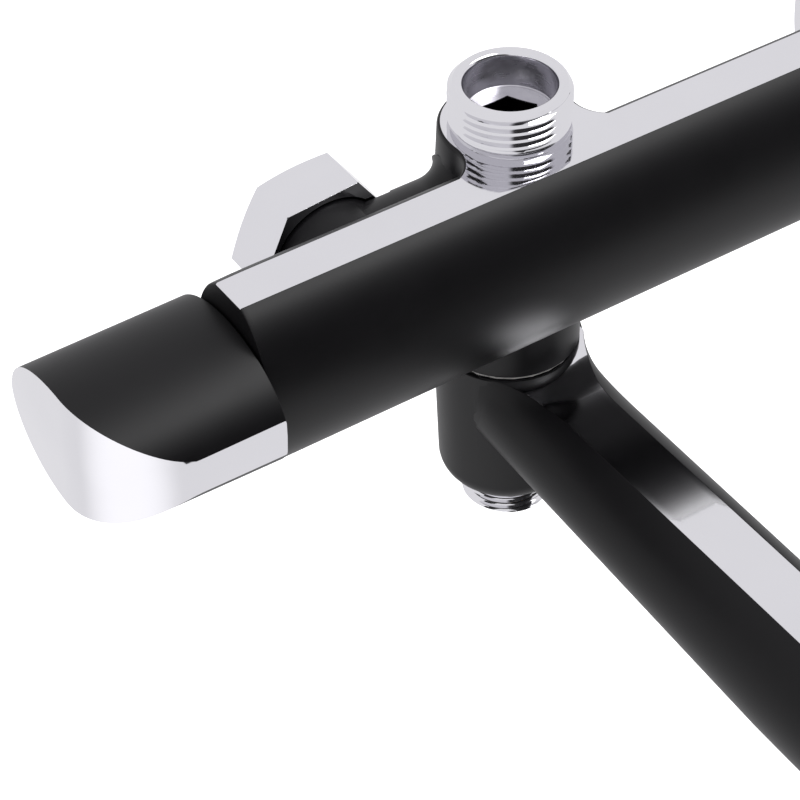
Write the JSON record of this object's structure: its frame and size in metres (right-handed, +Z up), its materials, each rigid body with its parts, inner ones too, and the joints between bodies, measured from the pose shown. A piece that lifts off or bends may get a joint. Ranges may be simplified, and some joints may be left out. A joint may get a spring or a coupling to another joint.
{
  "type": "wall mounted bath faucet",
  "caption": "Black and chrome wall mounted bath mixer with a swivel spout, a turning handle at each end, a riser nipple on top and a hose outlet below.",
  "frame": {"origin": "midway between the two inlets and level with the bar's axis, 1.1 mm above the inlets' own, on the plane of the union nuts' rear faces", "axes": "+X to the user's right along the bar, +Y into the wall, +Z up"},
  "size_m": [0.3018, 0.2352, 0.1165],
  "materials": {
    "black_lacquer": "satin black lacquer over cast brass, with the flats polished and chrome plated",
    "chrome": "polished chrome plate",
    "brass": "machined",
    "steel": "plain",
    "rubber": "moulded",
    "white_plastic": "moulded",
    "cartridge_plastic": "moulded"
  },
  "bodies": {
    "faucet_body": {"body_casting": "black_lacquer", "riser_nipple": "chrome", "riser_nipple_seal": "rubber", "outlet_stem": "chrome", "spout_upper_oring": "rubber", "spout_lower_oring": "rubber", "left_inlet_tailpiece": "brass", "right_inlet_tailpiece": "brass", "left_check_valve": "white_plastic", "right_check_valve": "white_plastic", "left_filter_washer": "rubber", "right_filter_washer": "rubber", "flow_cartridge": "cartridge_plastic", "flow_cartridge_nut": "brass", "thermo_cartridge": "cartridge_plastic", "thermo_cartridge_nut": "brass"},
    "left_nut": {"left_union_nut": "chrome"},
    "right_nut": {"right_union_nut": "chrome"},
    "flow_grip": {"flow_handle": "black_lacquer", "flow_spindle": "brass", "flow_handle_screw": "steel", "flow_handle_plug": "black_lacquer"},
    "temperature_grip": {"temperature_handle": "black_lacquer", "thermo_spindle": "brass", "thermo_stop_ring": "white_plastic", "temperature_handle_screw": "steel", "temperature_handle_plug": "black_lacquer"},
    "spout_arm": {"spout": "black_lacquer", "spout_bearing_ring": "white_plastic", "aerator_housing": "chrome", "aerator_insert": "white_plastic", "aerator_seal": "rubber"}
  },
  "joints": [
    {"name": "spout_swivel", "type": "hinge", "parent": "faucet_body", "child": "spout_arm", "pos_m": [-0.0345, -0.02, -0.05], "axis": [0, 0, 1], "range_deg": [-90, 90]},
    {"name": "flow_turn", "type": "hinge", "parent": "faucet_body", "child": "flow_grip", "pos_m": [-0.112, -0.0352, 0], "axis": [1, 0, 0], "range_deg": [-90, 180]},
    {"name": "temperature_turn", "type": "hinge", "parent": "faucet_body", "child": "temperature_grip", "pos_m": [0.112, -0.0352, 0], "axis": [1, 0, 0], "range_deg": [-135, 135]},
    {"name": "left_nut_turn", "type": "hinge", "parent": "faucet_body", "child": "left_nut", "pos_m": [-0.075, -0.0065, -0.0011], "axis": [0, 1, 0], "continuous": true},
    {"name": "right_nut_turn", "type": "hinge", "parent": "faucet_body", "child": "right_nut", "pos_m": [0.075, -0.0065, -0.0011], "axis": [0, 1, 0], "continuous": true}
  ]
}
